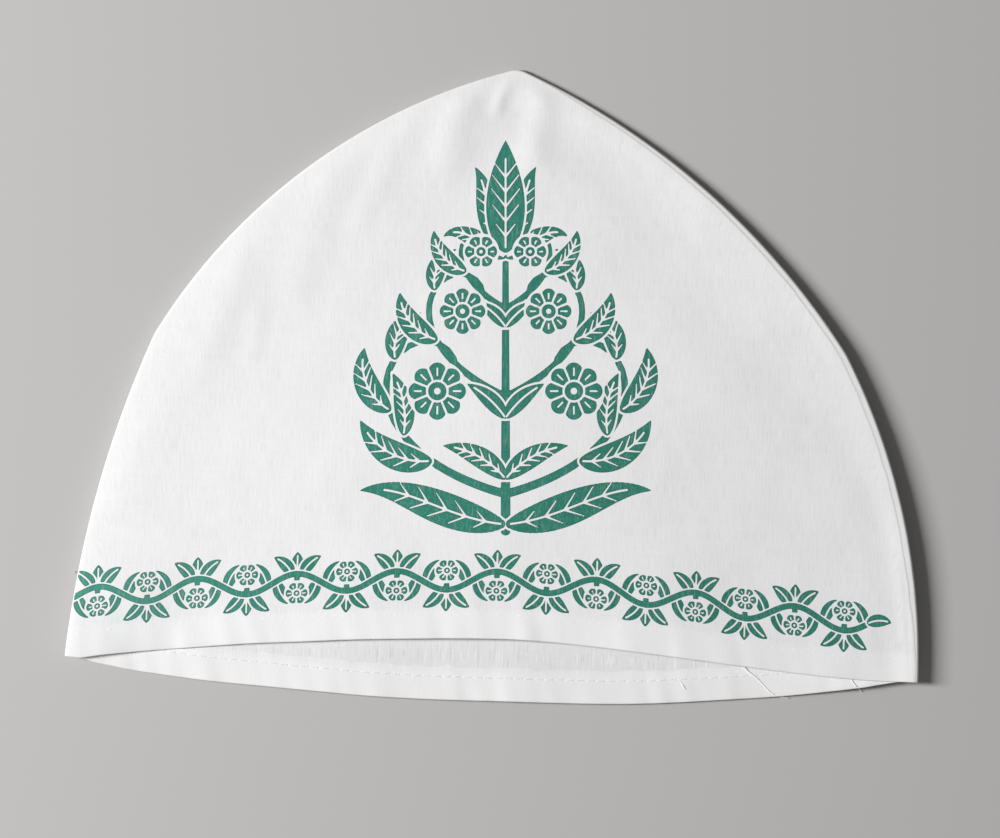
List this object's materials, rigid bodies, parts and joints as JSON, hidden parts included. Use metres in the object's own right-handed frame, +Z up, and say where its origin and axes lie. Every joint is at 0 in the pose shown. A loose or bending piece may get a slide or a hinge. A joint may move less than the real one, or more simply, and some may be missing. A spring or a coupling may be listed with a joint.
{
  "type": "skufia",
  "caption": "Soft pointed cloth cap of a front and a back panel with a turned-up hem round the mouth, lying flat with the mouth a little open.",
  "frame": {"origin": "under the middle of the bounding box, on the surface that the cap lies on", "axes": "+X across the mouth to the right as the printed front is seen, +Y from the mouth to the point, +Z up from the surface, out of the printed front"},
  "size_m": [0.2879, 0.213, 0.01],
  "materials": {
    "front_cotton": "white plain-weave cotton, matt, printed in green ink in the middle and along the hem",
    "back_cotton": "the same white plain-weave cotton, unprinted",
    "thread": "white cotton sewing thread, slightly lustrous",
    "print_ink": "matt green screen-printing ink soaked into the cotton, darker along its edges and specked where it missed the weave"
  },
  "bodies": {
    "root": {"front_panel": "front_cotton", "back_panel": "back_cotton", "front_hem": "front_cotton", "back_hem": "back_cotton"}
  },
  "joints": []
}
